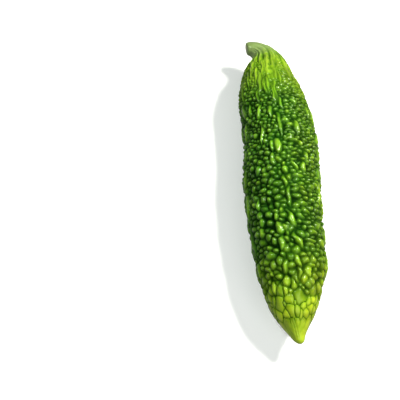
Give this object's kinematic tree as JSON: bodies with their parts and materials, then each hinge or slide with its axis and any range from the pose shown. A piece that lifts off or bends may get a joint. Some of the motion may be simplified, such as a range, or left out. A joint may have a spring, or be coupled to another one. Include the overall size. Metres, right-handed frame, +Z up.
{
  "type": "bitter melon",
  "caption": "Whole warty green bitter melon lying on its side, with a pointed blossom tip and a hooked stub of stem.",
  "frame": {"origin": "on the resting plane, under the middle of the fruit's box", "axes": "+Z up; the fruit lies along Y with its blossom tip towards -Y and its stem towards +Y, and the stub of stem hooks over towards -X"},
  "size_m": [0.053, 0.2164, 0.0512],
  "materials": {
    "skin": "waxy green skin with a soft gloss, deep green in the valleys and yellow-green at the blossom tip"
  },
  "bodies": {
    "root": {"bitter_melon": "skin"}
  },
  "joints": []
}
